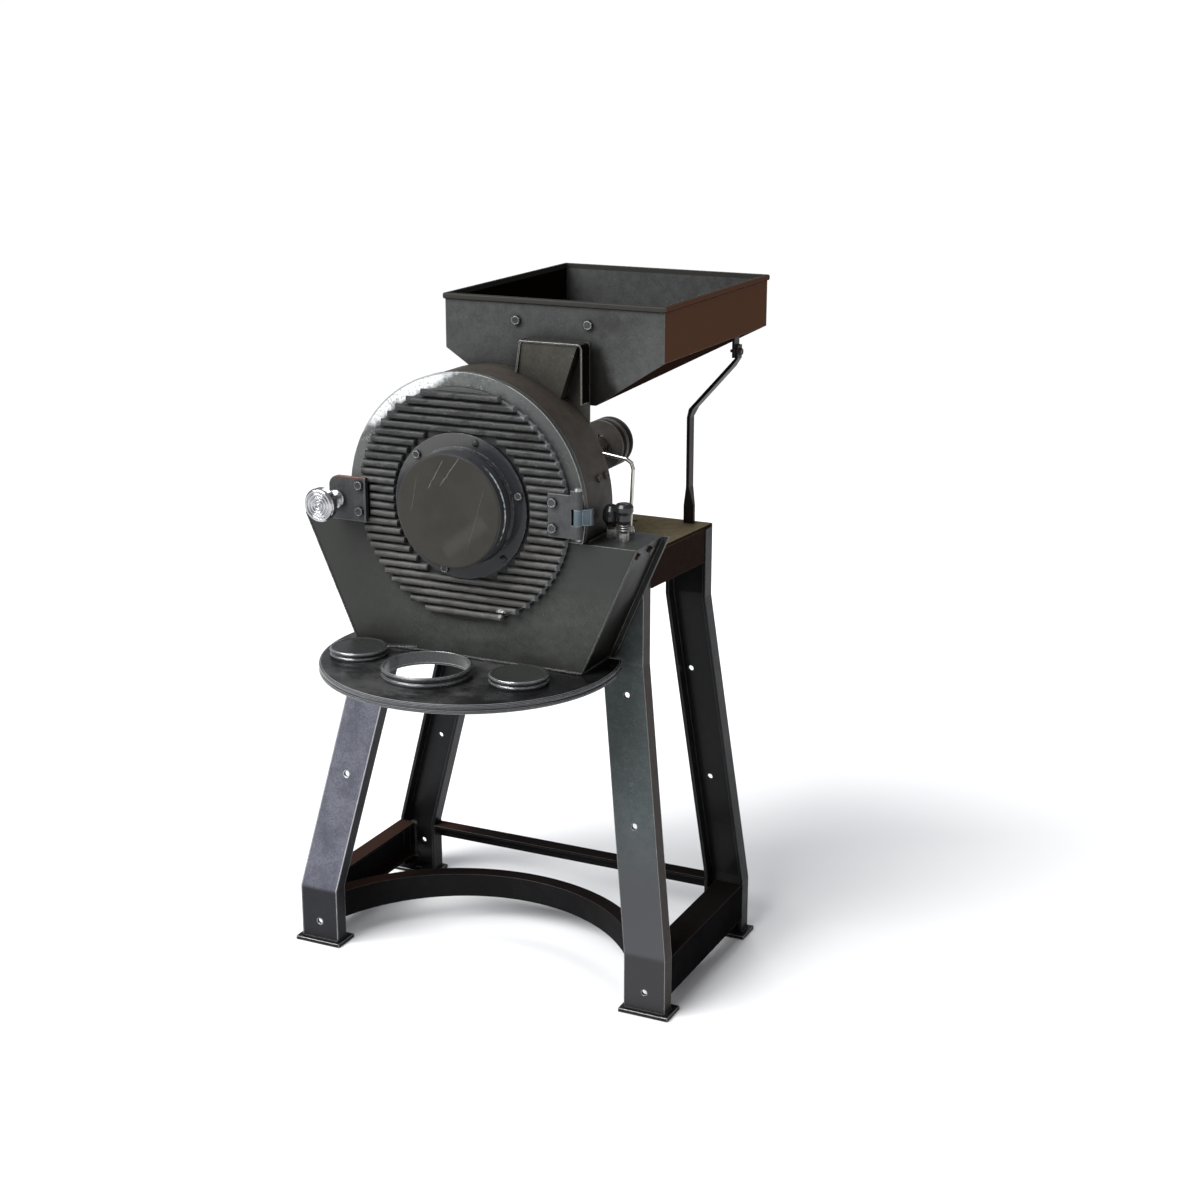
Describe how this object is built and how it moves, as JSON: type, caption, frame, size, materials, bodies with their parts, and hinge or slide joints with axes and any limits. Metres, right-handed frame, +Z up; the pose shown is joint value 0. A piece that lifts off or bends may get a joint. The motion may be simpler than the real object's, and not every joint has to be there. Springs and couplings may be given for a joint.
{
  "type": "pulverizer",
  "caption": "Grain pulverizer: ribbed-door mill drum with hopper, welded chute body, vented flour lid and splayed steel stand.",
  "frame": {"origin": "on the floor, in the middle of the four foot anchor holes", "axes": "+X to the machine's right as seen from the door, +Y from the door to the pulley, +Z up"},
  "size_m": [0.65, 0.723, 1.041],
  "materials": {
    "leg_paint_grey": "hammertone silver grey paint, worn edges",
    "leg_paint_green": "grey green paint, worn bright edges",
    "frame_black": "satin near black paint",
    "table_olive": "olive brown paint",
    "table_brown": "dark brown paint",
    "body_paint": "dark grey green paint over welded plate",
    "ring_steel": "turned steel ring with worn paint",
    "shell_paint": "brown grey paint over rolled steel",
    "door_iron": "dark grey paint, rib tips worn bright",
    "cap_paint": "satin dark grey paint with scratches",
    "knob_chrome": "turned chrome plate",
    "grip_black": "glossy black plastic",
    "zinc": "zinc plated fasteners",
    "bright_steel": "ground or polished steel",
    "iron_castings": "painted iron casting",
    "lid_black": "glossy black enamel",
    "vent_grey": "metallic grey enamel",
    "hopper_paint": "dark grey and brown paint over sheet"
  },
  "bodies": {
    "frame": {"leg_front_left": "leg_paint_grey", "leg_front_right": "leg_paint_green", "leg_rear_left": "frame_black", "leg_rear_right": "frame_black", "foot_plates": "frame_black", "table_top": "table_olive", "table_aprons": "table_brown", "side_braces": "frame_black", "rear_brace": "frame_black", "front_hoop_brace": "frame_black", "chute_body": "body_paint", "drum_front_ring": "ring_steel", "drum_shell": "shell_paint", "drum_back_plate": "shell_paint", "stator_liner": "iron_castings", "sieve_screen": "bright_steel", "sieve_rails": "body_paint", "bearing_housing": "iron_castings", "bearing_outer_rings": "bright_steel", "bearing_cover": "iron_castings", "housing_bolts": "zinc", "latch_lug": "body_paint", "hinge_leaf": "body_paint", "hinge_pin": "zinc", "flour_lid": "lid_black", "vent_collar_open": "vent_grey", "small_vent_collars": "vent_grey", "hopper_tray": "hopper_paint", "hopper_saddle": "shell_paint", "hopper_hood": "hopper_paint", "inlet_neck": "shell_paint", "gate_bolts": "zinc", "hopper_strut": "frame_black", "hopper_lug": "frame_black", "plunger_spring": "zinc", "ledge_nuts": "zinc", "bent_rod": "bright_steel", "rod_ferrule": "zinc", "body_bolts": "zinc", "small_bolts": "zinc"},
    "door_leaf": {"door": "door_iron", "door_cap": "cap_paint", "cap_screws": "zinc", "latch_plate": "door_iron", "hinge_plate": "door_iron", "door_bolts": "zinc"},
    "hand_knob": {"latch_knob": "knob_chrome"},
    "rotor": {"rotor_shaft": "bright_steel", "rotor_hub": "iron_castings", "rotor_beaters": "iron_castings", "v_pulley": "iron_castings", "pulley_key": "zinc", "shaft_nuts": "zinc", "bearing_inner_rings": "bright_steel"},
    "gate": {"feed_gate": "hopper_paint"},
    "plunger": {"plunger_knob": "grip_black", "plunger_stop": "zinc"},
    "turning_knob": {"side_knob": "grip_black"},
    "left_vent_cap": {"vent_cap_left": "vent_grey"},
    "right_vent_cap": {"vent_cap_right": "vent_grey"}
  },
  "joints": [
    {"name": "door_swing", "type": "hinge", "parent": "frame", "child": "door_leaf", "pos_m": [0.189, -0.1933, 0.757], "axis": [0, 0, 1], "range_deg": [0, 110]},
    {"name": "hand_knob_turn", "type": "hinge", "parent": "door_leaf", "child": "hand_knob", "pos_m": [-0.205, -0.22, 0.745], "axis": [0, -1, 0], "continuous": true},
    {"name": "rotor_spin", "type": "hinge", "parent": "frame", "child": "rotor", "pos_m": [0, 0, 0.753], "axis": [0, 1, 0], "continuous": true},
    {"name": "feed_gate_lift", "type": "slide", "parent": "frame", "child": "gate", "axis": [0, 0, 1], "range_m": [0, 0.048]},
    {"name": "plunger_press", "type": "slide", "parent": "frame", "child": "plunger", "axis": [0, 0, 1], "range_m": [-0.007, 0], "stiffness_N_per_m": 900, "springref_m": 0.002, "deforming": ["plunger_spring"]},
    {"name": "side_knob_turn", "type": "hinge", "parent": "frame", "child": "turning_knob", "pos_m": [0.207, -0.122, 0.74], "axis": [0, 0, 1], "continuous": true},
    {"name": "left_cap_lift", "type": "slide", "parent": "frame", "child": "left_vent_cap", "axis": [0, 0, 1], "range_m": [0, 0.04]},
    {"name": "right_cap_lift", "type": "slide", "parent": "frame", "child": "right_vent_cap", "axis": [0, 0, 1], "range_m": [0, 0.04]}
  ]
}
